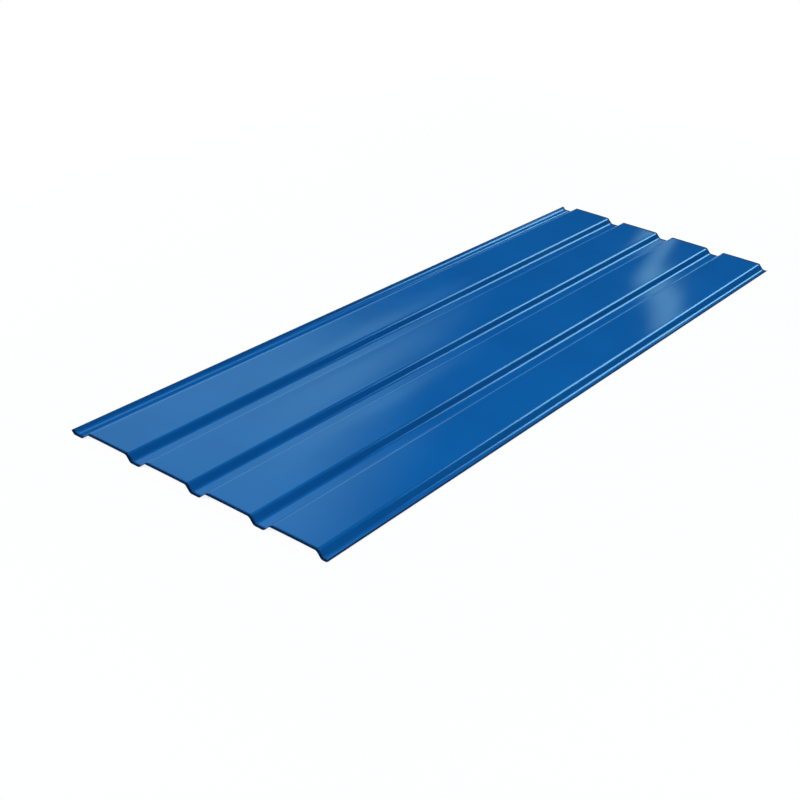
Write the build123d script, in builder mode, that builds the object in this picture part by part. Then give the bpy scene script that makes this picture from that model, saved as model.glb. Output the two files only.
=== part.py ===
"""Profiled steel sheet for roofs and walls.

One length of painted steel coil is roll-formed into wide flat pans with narrow valleys between them.
The left edge is the underlap: a whole valley with a short lip, which goes under the next sheet.
The right edge is the overlap: a web and a flange, which lie in the next sheet's valley.

The sheet lies flat. X runs across it, Y along its length and Z up. The origin is at the middle of
the middle valley, on the plane that the valleys rest on.
"""
import os

from build123d import *

# Driving dimensions, in millimetres
SHEET_LENGTH = 3000.0
GAUGE = 0.5
PITCH = 250.0
PAN_COUNT = 4
PROFILE_DEPTH = 22.0
VALLEY_FLAT_WIDTH = 38.0
WEB_RUN = 20.0
INSIDE_BEND_RADIUS = 14.0

# Underlap lip and overlap flange, in millimetres
LIP_RISE = 12.5
FLANGE_WIDTH = 16.0
TURNED_EDGE_RUN = 6.0
TURNED_EDGE_RISE = 3.0

# The section is drawn along the sheet's underside, which is outside the bends at the valleys
# and inside the bends at the pans
VALLEY_LEVEL = 0.0
PAN_LEVEL = VALLEY_LEVEL + PROFILE_DEPTH
VALLEY_HALF_WIDTH = VALLEY_FLAT_WIDTH / 2
OUTSIDE_BEND_RADIUS = INSIDE_BEND_RADIUS + GAUGE


def valley_centre(index):
    """X of a valley's centre line, counted from the underlap edge."""
    return (index - PAN_COUNT / 2) * PITCH


def pan_corners(index):
    """The web up from one valley, the pan, and the web down to the next valley."""
    foot_before = valley_centre(index) + VALLEY_HALF_WIDTH
    foot_after = valley_centre(index + 1) - VALLEY_HALF_WIDTH
    return [
        (foot_before, VALLEY_LEVEL),
        (foot_before + WEB_RUN, PAN_LEVEL),
        (foot_after - WEB_RUN, PAN_LEVEL),
        (foot_after, VALLEY_LEVEL),
    ]


# The lip leans as the webs do, so that it nests under the next sheet's last web
lip_foot = valley_centre(0) - VALLEY_HALF_WIDTH
lip_run = LIP_RISE * WEB_RUN / PROFILE_DEPTH
lip_edge = (lip_foot - lip_run, VALLEY_LEVEL + LIP_RISE)

# The flange lies on the flat of the next sheet's underlap valley, with its outer edge turned up
flange_foot = valley_centre(PAN_COUNT) - VALLEY_HALF_WIDTH
flange_bend = (flange_foot + FLANGE_WIDTH, VALLEY_LEVEL)
flange_edge = (flange_foot + FLANGE_WIDTH + TURNED_EDGE_RUN, VALLEY_LEVEL + TURNED_EDGE_RISE)

bends = [(lip_foot, VALLEY_LEVEL)]
for pan in range(PAN_COUNT):
    bends += pan_corners(pan)
bends.append(flange_bend)

bend_radii = [OUTSIDE_BEND_RADIUS if z == VALLEY_LEVEL else INSIDE_BEND_RADIUS for x, z in bends]

with BuildPart() as profiled_sheet:
    with BuildSketch(Plane.XZ) as section:
        with BuildLine() as underside:
            FilletPolyline(lip_edge, *bends, flange_edge, radius=bend_radii)
            offset(amount=GAUGE, side=Side.LEFT)
        make_face()
    extrude(amount=SHEET_LENGTH / 2, both=True)

profiled_sheet.part.label = "profiled_sheet"

os.makedirs("parts", exist_ok=True)
export_step(profiled_sheet.part, "parts/profiled_sheet.step")

box = profiled_sheet.part.bounding_box()
coil_width = profiled_sheet.part.volume / GAUGE / SHEET_LENGTH
print("box from", box.min, "to", box.max)
print("width of flat coil used", round(coil_width, 1), "mm")
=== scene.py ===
# %% [markdown]
# # A profiled steel sheet
# The real object is one length of painted steel coil. Rollers bend it into wide flat pans with
# narrow valleys between them, and a shear cuts it to length. Builders screw such sheets to roofs
# and walls. This lesson dresses the measured model of that sheet: first its mesh, then its paint,
# then a studio.

# %% Load the measured frame
import math

import bpy
import numpy as np
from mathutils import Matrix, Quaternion, Vector


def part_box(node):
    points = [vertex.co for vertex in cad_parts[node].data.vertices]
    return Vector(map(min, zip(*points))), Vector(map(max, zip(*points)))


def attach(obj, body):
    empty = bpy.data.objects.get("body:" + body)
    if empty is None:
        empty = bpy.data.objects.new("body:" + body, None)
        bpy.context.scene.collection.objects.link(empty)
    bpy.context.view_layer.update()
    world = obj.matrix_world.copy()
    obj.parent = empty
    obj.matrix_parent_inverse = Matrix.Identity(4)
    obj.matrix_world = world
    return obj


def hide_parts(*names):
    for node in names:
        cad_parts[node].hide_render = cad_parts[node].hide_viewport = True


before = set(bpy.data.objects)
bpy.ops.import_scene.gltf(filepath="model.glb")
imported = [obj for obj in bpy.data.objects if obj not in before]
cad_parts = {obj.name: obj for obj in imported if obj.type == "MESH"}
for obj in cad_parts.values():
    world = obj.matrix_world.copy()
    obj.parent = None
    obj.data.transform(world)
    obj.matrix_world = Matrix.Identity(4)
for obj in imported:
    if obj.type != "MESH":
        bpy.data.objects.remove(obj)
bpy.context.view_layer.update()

print("measured nodes", sorted(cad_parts))

# %% [markdown]
# ## The rolled section
# Seen from its end, the sheet is a line of flats and round bends with the same steel all along it.
# The measured solid has that shape, but its display mesh rounds each bend with very few facets, and
# a glossy bend shows every one of them. So the section is drawn again here with fine bends. It is
# kept as stations, each with a place on the underside and the direction that the painted face looks
# in there. Both faces and all shading then follow from the same stations.

# %% Sizes of the section, in metres
GAUGE = 0.0005
PITCH = 0.25
PAN_COUNT = 4
VALLEY_FLAT_WIDTH = 0.038
WEB_RUN = 0.02
INSIDE_BEND_RADIUS = 0.014
FLANGE_WIDTH = 0.016
TURNED_EDGE_RISE = 0.003

sheet_low, sheet_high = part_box("profiled_sheet")
sheet_length = sheet_high.y - sheet_low.y
valley_level = sheet_low.z
pan_level = sheet_high.z - GAUGE
valley_half_width = VALLEY_FLAT_WIDTH / 2
pan_rise = pan_level - valley_level
print("sheet length", round(sheet_length, 4), "rise of the pans", round(pan_rise, 4))


# %% Corners of the section, from the underlap lip to the overlap flange
def valley_centre(index):
    """X of a valley's centre line, counted from the underlap edge."""
    return (index - PAN_COUNT / 2) * PITCH


def pan_corners(index):
    """The web up from one valley, the pan, and the web down to the next valley."""
    foot_before = valley_centre(index) + valley_half_width
    foot_after = valley_centre(index + 1) - valley_half_width
    return [
        (foot_before, valley_level),
        (foot_before + WEB_RUN, pan_level),
        (foot_after - WEB_RUN, pan_level),
        (foot_after, valley_level),
    ]


lip_foot = valley_centre(0) - valley_half_width
lip_rise = (lip_foot - sheet_low.x) * pan_rise / WEB_RUN
flange_bend = valley_centre(PAN_COUNT) - valley_half_width + FLANGE_WIDTH

corners = [(sheet_low.x, valley_level + lip_rise), (lip_foot, valley_level)]
for pan in range(PAN_COUNT):
    corners += pan_corners(pan)
corners += [(flange_bend, valley_level), (sheet_high.x, valley_level + TURNED_EDGE_RISE)]
print("corners of the section", len(corners))

# %% Round bends at the corners
BEND_STEPS = 14


def turned(direction, angle):
    """A direction in the section, turned anticlockwise."""
    c, s = math.cos(angle), math.sin(angle)
    return np.array((c * direction[0] - s * direction[1], s * direction[0] + c * direction[1]))


def bend_stations(corner, before, after):
    """Places and facing directions round one bend, from tangent point to tangent point."""
    turn = math.atan2(before[0] * after[1] - before[1] * after[0], before @ after)
    side = math.copysign(1, turn)
    radius = INSIDE_BEND_RADIUS + (GAUGE if side > 0 else 0)
    facing = turned(before, math.pi / 2)
    start = corner - before * radius * math.tan(abs(turn) / 2)
    centre = start + side * radius * facing
    for step in range(BEND_STEPS + 1):
        direction = turned(facing, turn * step / BEND_STEPS)
        yield centre - side * radius * direction, direction


points = [np.array(corner) for corner in corners]
runs = [(b - a) / np.linalg.norm(b - a) for a, b in zip(points, points[1:])]
bends = [list(bend_stations(*bend)) for bend in zip(points[1:-1], runs, runs[1:])]
print("bends", len(bends), "in", BEND_STEPS, "steps each")

# %% Stations along the section
FLAT_STEP = 0.012

stations = [(points[0], turned(runs[0], math.pi / 2))]
for bend in bends:
    flat_start, facing = stations[-1]
    flat = bend[0][0] - flat_start
    flat_steps = max(2, round(float(np.linalg.norm(flat)) / FLAT_STEP))
    for step in range(1, flat_steps):
        stations.append((flat_start + flat * step / flat_steps, facing))
    stations += bend
flat_start, facing = stations[-1]
stations += [((flat_start + points[-1]) / 2, facing), (points[-1], facing)]

section = np.array([place for place, facing in stations])
section_facing = np.array([facing for place, facing in stations])
station_gaps = np.linalg.norm(np.diff(section, axis=0), axis=1)
coil_place = np.concatenate(([0], np.cumsum(station_gaps)))
print("stations", len(stations), "width of flat coil", round(float(coil_place[-1]), 4))

# %% [markdown]
# ## Slack in the wide pans
# A wide flat pan of thin steel is never quite flat: the rollers leave it a little higher in the
# middle, with long shallow waves, which makers call oil canning. Both are a fraction of a
# millimetre deep and show only in reflections. A bump texture could fake them, but real waves in
# the mesh also reach the exported model. The waves fade out before the bends, which stay straight
# because the folded metal is stiff there.

# %% Depth of the crown and the waves
CROWN_DEPTH = 0.0005
WAVE_DEPTH = 0.00022
WAVE_LENGTHS = (0.83, 0.47)
WAVE_PHASES = (0.4, 2.1, 3.7, 5.2)
WAVE_SKEW_SHARE = 0.08
pan_half_width = PITCH / 2 - valley_half_width - WEB_RUN - INSIDE_BEND_RADIUS


def slack_depth(x, y):
    """How far a place on a pan lies below the pan's true level, never above it."""
    depth = np.zeros(np.broadcast(x, y).shape)
    for pan, phase in enumerate(WAVE_PHASES):
        across = (x - valley_centre(pan + 0.5)) / pan_half_width
        inside = np.clip(1 - across**2, 0, None) ** 2
        wave = sum(
            np.sin(2 * math.pi * (y / length + WAVE_SKEW_SHARE * across) + phase * turn)
            for turn, length in enumerate(WAVE_LENGTHS, start=1)
        )
        depth += WAVE_DEPTH * inside * (wave / len(WAVE_LENGTHS) + 1) / 2
        own_pan = np.abs(across) * pan_half_width < PITCH / 2
        depth += CROWN_DEPTH * own_pan * np.clip(across**2, 0, 1)
    return depth


print("slack at a pan's edge", float(slack_depth(valley_centre(0.5) + pan_half_width, 0.0)))

# %% [markdown]
# ## Sweeping the section along the sheet
# The mesh is a grid: one row of stations after another along the length, once for the painted face
# and once for the underside, closed by narrow strips at the cut edges. An extruded curve would do
# the same, but a grid keeps the shading under control: each corner of each face is told the true
# direction of the steel there, so flats stay flat and bends run smoothly into them. The coil
# layout, the sheet rolled out flat again, serves as its texture map.

# %% Grid of places and directions
ROWS = 96
SLOPE_STEP = 0.0005

row_y = np.linspace(sheet_low.y, sheet_high.y, ROWS + 1)
x, y = np.meshgrid(section[:, 0], row_y)
height_share = np.clip((section[:, 1] - valley_level) / pan_rise, 0, 1)
sag = slack_depth(x, y) * height_share
slope_x = (slack_depth(x + SLOPE_STEP, y) - slack_depth(x - SLOPE_STEP, y)) / (2 * SLOPE_STEP)
slope_y = (slack_depth(x, y + SLOPE_STEP) - slack_depth(x, y - SLOPE_STEP)) / (2 * SLOPE_STEP)

facing_x = np.broadcast_to(section_facing[:, 0], x.shape)
facing_z = np.broadcast_to(section_facing[:, 1], x.shape)
underside = np.stack([x, y, np.broadcast_to(section[:, 1], x.shape) - sag], -1)
painted = underside + GAUGE * np.stack([facing_x, np.zeros(x.shape), facing_z], -1)
facing = np.stack([facing_x + slope_x, slope_y, facing_z], -1)
facing /= np.linalg.norm(facing, axis=-1, keepdims=True)
print("deepest slack", round(float(sag.max()) * 1000, 3), "mm")

# %% Vertices, and their places in the coil layout
MARGIN_SHARE = 0.02

rows, columns = x.shape
vertex = np.arange(2 * rows * columns).reshape(2, rows, columns)
places = np.concatenate([painted.reshape(-1, 3), underside.reshape(-1, 3)])
layout_scale = (1 - 2 * MARGIN_SHARE) / sheet_length
along = MARGIN_SHARE + (y - sheet_low.y) * layout_scale
across = np.broadcast_to(coil_place, x.shape) * layout_scale
print("vertices", len(places))

# %% Faces of the two skins
PAINTED_FACE, BACKING_FACE, CUT_EDGE = range(3)

face_corners, face_facing, face_layout, face_finish = [], [], [], []


def grid_faces(corner_grids, facing_grids, layout_grids, finish):
    """Adds one patch of quads. Each list holds the grids of the four corners, in order."""
    face_corners.append(np.stack([grid.ravel() for grid in corner_grids], -1))
    face_facing.append(np.stack([grid.reshape(-1, 3) for grid in facing_grids], 1))
    face_layout.append(np.stack([grid.reshape(-1, 2) for grid in layout_grids], 1))
    face_finish.append(np.full(corner_grids[0].size, finish))


def four_corners(grid):
    """The grids of each quad's corners, anticlockwise as seen from above."""
    return [grid[:-1, :-1], grid[:-1, 1:], grid[1:, 1:], grid[1:, :-1]]


skin_step = (1 - MARGIN_SHARE) / 2
for side, finish in enumerate((PAINTED_FACE, BACKING_FACE)):
    order = 1 if finish == PAINTED_FACE else -1
    layout = np.stack([MARGIN_SHARE + side * skin_step + across, along], -1)
    grid_faces(
        four_corners(vertex[side])[::order],
        four_corners(facing * order)[::order],
        four_corners(layout)[::order],
        finish,
    )
print("faces of the two skins", sum(len(patch) for patch in face_corners))

# %% Faces of the cut edges
EDGE_STRIP_SHARE = 0.01


def edge_strip(top, bottom, outward, strip_start, strip_places):
    """Adds the strip of cut steel between the two skins along one edge of the sheet."""
    directions = np.broadcast_to(outward, (len(top), 3))
    low = np.stack([np.full(len(top), strip_start), strip_places], -1)
    high = low + (EDGE_STRIP_SHARE, 0)
    grid_faces(
        [bottom[:-1], bottom[1:], top[1:], top[:-1]],
        [directions[:-1], directions[1:], directions[1:], directions[:-1]],
        [low[:-1], low[1:], high[1:], high[:-1]],
        CUT_EDGE,
    )


slit_lip = np.array((-runs[0][0], 0, -runs[0][1]))
slit_flange = np.array((runs[-1][0], 0, runs[-1][1]))
shear_ends = np.array((0, 1, 0))
strip_step = 2 * EDGE_STRIP_SHARE
near_strip = 1 - MARGIN_SHARE - EDGE_STRIP_SHARE
far_strip = near_strip - strip_step
lip_strip = far_strip - strip_step
flange_strip = lip_strip - strip_step
end_places = MARGIN_SHARE + coil_place * layout_scale
far_top, far_bottom = vertex[:, -1, ::-1]
lip_top, lip_bottom = vertex[:, ::-1, 0]
edge_strip(*vertex[:, 0], -shear_ends, near_strip, end_places)
edge_strip(far_top, far_bottom, shear_ends, far_strip, end_places[::-1])
edge_strip(lip_top, lip_bottom, slit_lip, lip_strip, along[::-1, 0])
edge_strip(*vertex[:, :, -1], slit_flange, flange_strip, along[:, -1])
print("faces in all", sum(len(patch) for patch in face_corners))

# %% The sheet's mesh
quads = np.concatenate(face_corners)
mesh = bpy.data.meshes.new("painted_sheet")
mesh.from_pydata(places.tolist(), [], quads.tolist())
coil_layout = mesh.uv_layers.new(name="OFBake")
coil_layout.data.foreach_set("uv", np.concatenate(face_layout).ravel())
mesh.polygons.foreach_set("material_index", np.concatenate(face_finish))
mesh.polygons.foreach_set("use_smooth", np.ones(len(quads), bool))
mesh.normals_split_custom_set(np.concatenate(face_facing).reshape(-1, 3))
mesh.update()

painted_sheet = bpy.data.objects.new("painted_sheet", mesh)
bpy.context.scene.collection.objects.link(painted_sheet)
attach(painted_sheet, "root")
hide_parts("profiled_sheet")
print("triangles in the sheet", 2 * len(quads))

# %% [markdown]
# ## A texture that all coil coats share
# Paint goes on the flat coil with rollers, before any bending. That leaves three faint traces: soft
# clouds in the shade, fine streaks along the coil, and a pebbled skin like orange peel. Along each
# cut there is also a dark rim of painted shade. It is widest at the near end, where it stands for
# the shadow under that edge of the sheet, and hardly there along the lip. The blue face and the
# grey back have all of this in different strengths, so it lives in one node group. The group only
# hands out patterns. Each material decides what to do with them.

# %% Sockets of the coil coat texture
COAT_SCALES = {"Cloud Scale": 3.0, "Streak Scale": 90.0, "Peel Scale": 420.0}
COAT_PATTERNS = ("Clouds", "Streaks", "Peel Height", "Painted Edge Shade")


def add_node(tree, kind, **settings):
    """A new node with its settings, of which in_0, in_1 and so on are its inputs' values."""
    node = tree.nodes.new(kind)
    for name, value in settings.items():
        if name.startswith("in_"):
            node.inputs[int(name.removeprefix("in_"))].default_value = value
        else:
            setattr(node, name, value)
    return node


coat = bpy.data.node_groups.new("coil coat texture", "ShaderNodeTree")
for name, scale in COAT_SCALES.items():
    socket = coat.interface.new_socket(name, in_out="INPUT", socket_type="NodeSocketFloat")
    socket.default_value = scale
for name in COAT_PATTERNS:
    coat.interface.new_socket(name, in_out="OUTPUT", socket_type="NodeSocketFloat")
group_in = add_node(coat, "NodeGroupInput")
group_out = add_node(coat, "NodeGroupOutput")
print("patterns of the coil coat", COAT_PATTERNS)

# %% Clouds, streaks and peel
STREAK_STRETCH = (1.0, 0.012, 1.0)
CLOUD_DETAIL = 3.0
STREAK_DETAIL = 4.0
STREAK_ROUGHNESS = 0.6
PEEL_DETAIL = 1.0


def noise(tree, place, detail):
    """A noise texture at a place."""
    texture = add_node(tree, "ShaderNodeTexNoise")
    texture.inputs["Detail"].default_value = detail
    tree.links.new(place, texture.inputs["Vector"])
    return texture


where = add_node(coat, "ShaderNodeTexCoord").outputs["Object"]
stretched = add_node(coat, "ShaderNodeVectorMath", operation="MULTIPLY", in_1=STREAK_STRETCH)
coat.links.new(where, stretched.inputs[0])
clouds = noise(coat, where, CLOUD_DETAIL)
streaks = noise(coat, stretched.outputs[0], STREAK_DETAIL)
streaks.inputs["Roughness"].default_value = STREAK_ROUGHNESS
peel = noise(coat, where, PEEL_DETAIL)
for texture, scale, pattern in zip((clouds, streaks, peel), COAT_SCALES, COAT_PATTERNS):
    coat.links.new(group_in.outputs[scale], texture.inputs["Scale"])
    coat.links.new(texture.outputs["Fac"], group_out.inputs[pattern])
print("coil coat texture nodes", len(coat.nodes))


# %% How far a place is from each cut
def maths(tree, operation, first, second=None):
    """One Math node on two sockets or numbers."""
    node = add_node(tree, "ShaderNodeMath", operation=operation)
    for socket, value in zip(node.inputs, (first, second)):
        if isinstance(value, (int, float)):
            socket.default_value = value
        elif value is not None:
            tree.links.new(value, socket)
    return node.outputs[0]


spot = add_node(coat, "ShaderNodeSeparateXYZ")
coat.links.new(where, spot.inputs[0])
from_edges = {
    "near": maths(coat, "SUBTRACT", spot.outputs["Y"], sheet_low.y),
    "far": maths(coat, "SUBTRACT", sheet_high.y, spot.outputs["Y"]),
    "lip": maths(coat, "SUBTRACT", spot.outputs["X"], sheet_low.x),
    "flange": maths(coat, "SUBTRACT", sheet_high.x, spot.outputs["X"]),
}
print("cuts", list(from_edges))

# %% Painted shade along each cut
EDGE_SHADE_WIDTHS = {"near": 0.018, "far": 0.015, "lip": 0.002, "flange": 0.014}
EDGE_SHADE_CORE_SHARE = 0.3
EDGE_SHADE_OUTER_SHARE = 1.0


def fade(tree, value, dark, lit, lowest=0.0):
    """A soft edge: lowest at the dark place or angle, and one at the lit place or angle."""
    (start, start_level), (end, end_level) = sorted([(dark, lowest), (lit, 1.0)])
    node = add_node(
        tree,
        "ShaderNodeMapRange",
        interpolation_type="SMOOTHSTEP",
        in_1=start,
        in_2=end,
        in_3=start_level,
        in_4=end_level,
    )
    tree.links.new(value, node.inputs["Value"])
    return node.outputs["Result"]


edge_shade_share = EDGE_SHADE_OUTER_SHARE
for edge, distance in from_edges.items():
    edge_share = maths(coat, "DIVIDE", distance, EDGE_SHADE_WIDTHS[edge])
    edge_shade_share = maths(coat, "MINIMUM", edge_share, edge_shade_share)
# The rim is painted shade: full inside its core, fading out to the edge of its width.
painted_edge_shade = fade(coat, edge_shade_share, EDGE_SHADE_OUTER_SHARE, EDGE_SHADE_CORE_SHARE)
coat.links.new(painted_edge_shade, group_out.inputs["Painted Edge Shade"])
print("widths of the rims", EDGE_SHADE_WIDTHS)

# %% [markdown]
# ## Blue coil coat
# The show face has a thin glossy coat of saturated blue. A plain blue shader would look like
# plastic, because a real coat changes a little in shade and in gloss from place to place. So the
# clouds lead from a deeper to a lighter blue, and streaks and clouds together decide how sharp a
# reflection is. Along the cuts the painted shade takes it most of the way to a dull, dark metallic
# blue.

# %% A recipe for coil coats
CLOUD_RANGE = (0.3, 0.7)
GLOSS_PATTERN_RANGE = (0.7, 1.3)
EDGE_SHADE_STRENGTH = 0.9


def new_material(name):
    """An empty material with its output node."""
    material = bpy.data.materials.new(name)
    material.use_nodes = True
    material.node_tree.nodes.clear()
    return material, material.node_tree, add_node(material.node_tree, "ShaderNodeOutputMaterial")


def ramp(tree, value, places, colours):
    """A colour ramp between two colours."""
    node = add_node(tree, "ShaderNodeValToRGB")
    for element, place, colour in zip(node.color_ramp.elements, places, colours):
        element.position, element.color = place, colour
    tree.links.new(value, node.inputs["Fac"])
    return node.outputs["Color"]


def spread(tree, value, pattern_range, result_range):
    """An even change from one range of values to another."""
    (low, high), (first, last) = pattern_range, result_range
    node = add_node(tree, "ShaderNodeMapRange", in_1=low, in_2=high, in_3=first, in_4=last)
    tree.links.new(value, node.inputs["Value"])
    return node.outputs["Result"]


def coat_material(name, shades, shaded_edge_colour, gloss_range, peel_height, scales):
    """A coil coat: clouds in the shade, streaks in the gloss, a pebbled skin and painted shade at
    the cuts.
    """
    material, tree, output = new_material(name)
    shader = add_node(tree, "ShaderNodeBsdfPrincipled")
    texture = add_node(tree, "ShaderNodeGroup", node_tree=coat)
    for socket, scale in scales.items():
        texture.inputs[socket].default_value = scale
    clouds, streaks = texture.outputs["Clouds"], texture.outputs["Streaks"]
    # Painted shade along the cuts: the dark rim darkens the colour there and makes it metallic and
    # rougher.
    edge_shade = maths(tree, "MULTIPLY", texture.outputs["Painted Edge Shade"], EDGE_SHADE_STRENGTH)
    edge_shaded = add_node(tree, "ShaderNodeMixRGB", in_2=shaded_edge_colour)
    pattern = maths(tree, "ADD", clouds, streaks)
    gloss = spread(tree, pattern, GLOSS_PATTERN_RANGE, gloss_range)
    bump = add_node(tree, "ShaderNodeBump")
    bump.inputs["Distance"].default_value = peel_height
    tree.links.new(edge_shade, edge_shaded.inputs["Fac"])
    tree.links.new(ramp(tree, clouds, CLOUD_RANGE, shades), edge_shaded.inputs[1])
    tree.links.new(edge_shaded.outputs["Color"], shader.inputs["Base Color"])
    tree.links.new(edge_shade, shader.inputs["Metallic"])
    tree.links.new(maths(tree, "ADD", gloss, edge_shade), shader.inputs["Roughness"])
    tree.links.new(texture.outputs["Peel Height"], bump.inputs["Height"])
    tree.links.new(bump.outputs["Normal"], shader.inputs["Normal"])
    tree.links.new(shader.outputs["BSDF"], output.inputs["Surface"])
    return material


# The strength printed here is that of the painted shade along the cuts.
print("strength of the painted edge shade", EDGE_SHADE_STRENGTH)

# %% The blue coil coat
DEEP_BLUE = (0.0036, 0.097, 0.338, 1)
LIGHT_BLUE = (0.0044, 0.1115, 0.376, 1)
# Colour of the painted shade along the cuts of the blue face.
EDGE_SHADE_BLUE = (0.004, 0.064, 0.225, 1)
GLOSS_RANGE = (0.05, 0.08)
PEEL_HEIGHT = 0.000003

blue_coat = coat_material(
    "blue coil coat", (DEEP_BLUE, LIGHT_BLUE), EDGE_SHADE_BLUE, GLOSS_RANGE, PEEL_HEIGHT, COAT_SCALES
)
print("made", blue_coat.name)

# %% [markdown]
# ## Grey backing coat
# The underside only has a thin protective coat, pale grey and duller than the face. It could have a
# plain grey shader, since it is hardly seen once the sheet is up. But it is the same kind of paint,
# so the same recipe makes it, with coarser streaks, finer clouds and a rougher skin.

# %% The grey backing coat
DARK_GREY = (0.46, 0.47, 0.46, 1)
PALE_GREY = (0.55, 0.56, 0.55, 1)
# Colour of the painted shade along the cuts of the grey back.
EDGE_SHADE_GREY = (0.12, 0.12, 0.125, 1)
DULL_RANGE = (0.35, 0.55)
BACKING_PEEL_HEIGHT = 0.000006
BACKING_SCALES = {"Cloud Scale": 5.0, "Streak Scale": 60.0}

backing_coat = coat_material(
    "grey backing coat",
    (DARK_GREY, PALE_GREY),
    EDGE_SHADE_GREY,
    DULL_RANGE,
    BACKING_PEEL_HEIGHT,
    BACKING_SCALES,
)
print("made", backing_coat.name)

# %% [markdown]
# ## Cut edges
# The shear leaves the steel bare at the edges, half a millimetre wide. Part of the cut is burnished
# by the blade and part is torn. One plain grey metal would do from far away, but a close look finds
# both, so a fine noise mixes bright smooth metal with dark rough metal.

# %% The sheared steel edge
BURNISHED_STEEL = (0.16, 0.165, 0.18, 1)
TORN_STEEL = (0.03, 0.033, 0.04, 1)
SCRATCH_SCALE = 900.0
SCRATCH_DETAIL = 3.0
SCRATCH_SHADE_RANGE = (0.35, 0.7)
SCRATCH_GLOSS_RANGE = (0.3, 0.7)
EDGE_ROUGHNESS_RANGE = (0.55, 0.3)

cut_edge, tree, output = new_material("sheared steel edge")
shader = add_node(tree, "ShaderNodeBsdfPrincipled")
shader.inputs["Metallic"].default_value = 1.0
place = add_node(tree, "ShaderNodeTexCoord").outputs["Object"]
scratches = noise(tree, place, SCRATCH_DETAIL)
scratches.inputs["Scale"].default_value = SCRATCH_SCALE
scratched = scratches.outputs["Fac"]
metal = ramp(tree, scratched, SCRATCH_SHADE_RANGE, (TORN_STEEL, BURNISHED_STEEL))
tree.links.new(metal, shader.inputs["Base Color"])
gloss = spread(tree, scratched, SCRATCH_GLOSS_RANGE, EDGE_ROUGHNESS_RANGE)
tree.links.new(gloss, shader.inputs["Roughness"])
tree.links.new(shader.outputs["BSDF"], output.inputs["Surface"])

for finish in (blue_coat, backing_coat, cut_edge):
    mesh.materials.append(finish)
print("finishes on the sheet", [finish.name for finish in mesh.materials])

# %% [markdown]
# ## The floor
# The sheet lies on a plain white floor. A lit floor alone would look a little grey, so for rays
# that come from the camera or from a mirror-like surface it also glows at the strength of white.
# Beside the sheet it glows less, and a short way under the sheet not at all, so the sheet keeps its
# own shadow.

# %% A matt white floor that can glow
FLOOR_SIZE = 60.0
FLOOR_GAP = 0.0002
FLOOR_COLOUR = (0.9, 0.9, 0.9, 1)
WHITE_STRENGTH = 1.0

bpy.ops.mesh.primitive_plane_add(size=FLOOR_SIZE, location=(0, 0, valley_level - FLOOR_GAP))
floor = bpy.context.object
floor.name = "white_floor"
white_floor, tree, output = new_material("white floor")
matt = add_node(tree, "ShaderNodeBsdfDiffuse", in_0=FLOOR_COLOUR)
glow = add_node(tree, "ShaderNodeEmission", in_1=WHITE_STRENGTH)
blend = add_node(tree, "ShaderNodeMixShader")
tree.links.new(matt.outputs[0], blend.inputs[1])
tree.links.new(glow.outputs[0], blend.inputs[2])
tree.links.new(blend.outputs[0], output.inputs["Surface"])
floor.data.materials.append(white_floor)
print("floor", FLOOR_SIZE, "m wide")

# %% Where the floor glows
UNDER_REACH = (-0.034, -0.022)
BESIDE_REACH = (0.015, 2.5)
GLOW_BESIDE = 0.86

place = add_node(tree, "ShaderNodeTexCoord").outputs["Object"]
from_middle = add_node(tree, "ShaderNodeVectorMath", operation="ABSOLUTE")
past_edge = add_node(tree, "ShaderNodeSeparateXYZ")
tree.links.new(place, from_middle.inputs[0])
tree.links.new(from_middle.outputs[0], past_edge.inputs[0])
past_side = maths(tree, "SUBTRACT", past_edge.outputs["X"], sheet_high.x)
past_end = maths(tree, "SUBTRACT", past_edge.outputs["Y"], sheet_high.y)
outside = maths(tree, "MAXIMUM", past_side, past_end)
clear_of_sheet = fade(tree, outside, *UNDER_REACH)
far_from_sheet = fade(tree, outside, *BESIDE_REACH, lowest=GLOW_BESIDE)

path = add_node(tree, "ShaderNodeLightPath")
seen = path.outputs["Is Camera Ray"]
for kind in ("Is Glossy Ray", "Is Transmission Ray"):
    seen = maths(tree, "MAXIMUM", seen, path.outputs[kind])
share = maths(tree, "MULTIPLY", clear_of_sheet, far_from_sheet)
tree.links.new(maths(tree, "MULTIPLY", share, seen), blend.inputs[0])
print("floor nodes", len(tree.nodes))

# %% [markdown]
# ## Lamps
# The light comes from the near side, high and a little from the left. Most of it is a wide even
# light, as from a large window far away, so both ends of the long sheet get nearly the same. A soft
# square lamp adds a little more to the near end. A bare lamp mirrored in gloss is a hard white
# patch, so the sheet doesn't mirror these two. A soft window, drawn further down, stands in for
# them there.

# %% Soft lamps on the near side
SHEET_MIDDLE = Vector((0, -0.1, 0))
WINDOW_PLACE = (-0.8, -5.5, 5.0)
WINDOW_STRENGTH = 3.6
WINDOW_SPREAD = math.radians(18)
SQUARE_PLACE = (-1.5, -5.5, 5.5)
SQUARE_POWER = 40.0
SQUARE_SIZE = 4.0


def near_lamp(name, kind, place, strength, **settings):
    """Adds a lamp on the near side that looks at the middle of the sheet."""
    lamp = bpy.data.objects.new(name, bpy.data.lights.new(name, kind))
    lamp.data.energy = strength
    for setting, value in settings.items():
        setattr(lamp.data, setting, value)
    lamp.location = place
    lamp.rotation_euler = (SHEET_MIDDLE - Vector(place)).to_track_quat("-Z", "Y").to_euler()
    lamp.visible_camera = False
    lamp.visible_glossy = False
    bpy.context.scene.collection.objects.link(lamp)


near_lamp("window_light", "SUN", WINDOW_PLACE, WINDOW_STRENGTH, angle=WINDOW_SPREAD)
near_lamp("square_lamp", "AREA", SQUARE_PLACE, SQUARE_POWER, shape="SQUARE", size=SQUARE_SIZE)
print("lamps", [item.name for item in bpy.data.lights])

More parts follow.
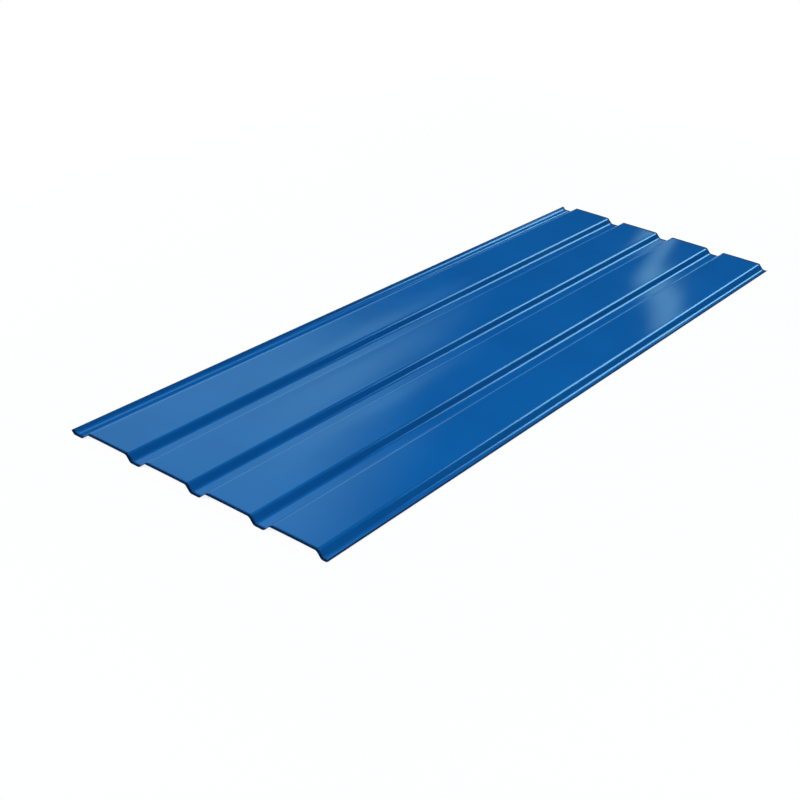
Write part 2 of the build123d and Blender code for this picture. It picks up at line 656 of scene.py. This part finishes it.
# %% [markdown]
# ## What the paint mirrors
# Glossy paint looks like paint because of what it mirrors. A studio has a pale wall on one side
# with a beam of daylight slanting over it, a lit panel at the back, two narrow gaps with daylight
# behind them, the upper one leaning, a window behind the viewer, and darkness between. Here they
# are drawn on the world by compass direction. Lamps could do it too, but a panel drawn this way can
# have one soft and one hard edge, as a curtain or a wall has. They are bluer than the lamps, as
# daylight is. Where the floor ends, a low white backdrop goes on, with a pale blue curtain behind
# the sheet.

# %% Directions in the studio
DEGREES = 180 / math.pi
BEAM_SLOPE = 0.58
GAP_LEAN = 0.55

world = bpy.data.worlds.new("studio")
bpy.context.scene.world = world
world.use_nodes = True
tree = world.node_tree
tree.nodes.clear()
parts = add_node(tree, "ShaderNodeSeparateXYZ")
tree.links.new(add_node(tree, "ShaderNodeTexCoord").outputs["Generated"], parts.inputs[0])
leftward = maths(tree, "MULTIPLY", parts.outputs["X"], -1.0)
bearing = maths(tree, "ARCTAN2", leftward, parts.outputs["Y"])
azimuth = maths(tree, "MULTIPLY", bearing, DEGREES)
elevation = maths(tree, "MULTIPLY", maths(tree, "ARCSINE", parts.outputs["Z"]), DEGREES)
slant = maths(tree, "SUBTRACT", elevation, maths(tree, "MULTIPLY", azimuth, BEAM_SLOPE))
lean = maths(tree, "ADD", azimuth, maths(tree, "MULTIPLY", elevation, GAP_LEAN))
directions = {"azimuth": azimuth, "elevation": elevation, "slant": slant, "lean": lean}
print("directions", list(directions))


# %% Walls, gaps and curtains round the studio
def panel(strength, **edges):
    """A lit panel. Each pair of edges is a dark angle and the lit angle next to it, in degrees."""
    lit = strength
    for direction, pairs in edges.items():
        for dark, light in pairs:
            lit = maths(tree, "MULTIPLY", fade(tree, directions[direction], dark, light), lit)
    return lit


pale_wall = panel(0.78, azimuth=[(32, 40.5), (90, 40.5)], elevation=[(20, 28), (62, 46)])
low_wall = panel(1.0, azimuth=[(37, 43), (90, 46)], elevation=[(0, 4), (27, 20)])
wall_beam = panel(0.42, azimuth=[(30.5, 35.5), (42, 36)], slant=[(3.4, 4.6), (8.0, 6.4)])
low_gap = panel(0.78, azimuth=[(23.0, 23.8), (25.0, 24.0)], elevation=[(12, 15), (22.4, 21.2)])
high_gap = panel(1.15, lean=[(34.15, 35.2), (36.8, 35.45)], elevation=[(20.9, 22.0), (28, 23.5)])
back_panel = panel(6.3, azimuth=[(-27, -22), (11, 3)], elevation=[(23, 28), (43, 36)])
window = panel(2.0, azimuth=[(125, 140), (178, 165)], elevation=[(28, 38), (58, 48)])
blue_curtain = panel(1.0, azimuth=[(16, 24), (66, 56)], elevation=[(8, 3)])
right_backdrop = panel(1.0, azimuth=[(24, 16)], elevation=[(9, 5)])
left_backdrop = panel(1.0, azimuth=[(56, 66)], elevation=[(9, 5)])
print("world nodes for panels", len(tree.nodes))

# %% Colours of the panels
PALE_DAYLIGHT = (0.46, 0.92, 0.98, 1)
BLUE_DAYLIGHT = (0.36, 0.84, 1.08, 1)
CURTAIN_BLUE = (0.34, 0.74, 0.95, 1)
WHITE = (1.0, 1.0, 1.0, 1)
DARKNESS = 0.0045


def lit_background(colour, panels):
    """One colour of light, as strong as all its panels together."""
    background = add_node(tree, "ShaderNodeBackground", in_0=colour)
    strength = DARKNESS
    for lit in panels:
        strength = maths(tree, "ADD", lit, strength)
    tree.links.new(strength, background.inputs["Strength"])
    return background.outputs[0]


surround = lit_background(WHITE, [right_backdrop, left_backdrop, window])
for colour, panels in (
    (PALE_DAYLIGHT, [pale_wall, low_wall, wall_beam, low_gap, high_gap]),
    (BLUE_DAYLIGHT, [back_panel]),
    (CURTAIN_BLUE, [blue_curtain]),
):
    together = add_node(tree, "ShaderNodeAddShader")
    tree.links.new(surround, together.inputs[0])
    tree.links.new(lit_background(colour, panels), together.inputs[1])
    surround = together.outputs[0]
tree.links.new(surround, add_node(tree, "ShaderNodeOutputWorld").inputs["Surface"])
print("world nodes", len(tree.nodes))

# %% [markdown]
# ## Camera
# The camera stands to the right of the near end, a little over head height, and looks down along
# the sheet. It is tilted by a few degrees, as a hand-held one often is. A lens and a tilt set by
# eye would leave one end of so long a sheet at the wrong width, so all four values were fitted
# together to the corners of both end profiles.

# %% Camera at the photograph's place
EYE = Vector((2.3909, -3.9533, 2.1466))
AIM = Vector((0.0731, -0.5934, 0.0))
ROLL = math.radians(4.73)
LENS = 61.43

camera = bpy.data.objects.new("camera", bpy.data.cameras.new("camera"))
camera.data.lens = LENS
camera.location = EYE
look = (AIM - EYE).to_track_quat("-Z", "Y")
camera.rotation_euler = (look @ Quaternion((0, 0, 1), ROLL)).to_euler()
bpy.context.scene.collection.objects.link(camera)
bpy.context.scene.camera = camera
bpy.context.scene.view_settings.view_transform = "Standard"
print("camera", round((AIM - EYE).length, 2), "m from its aim")
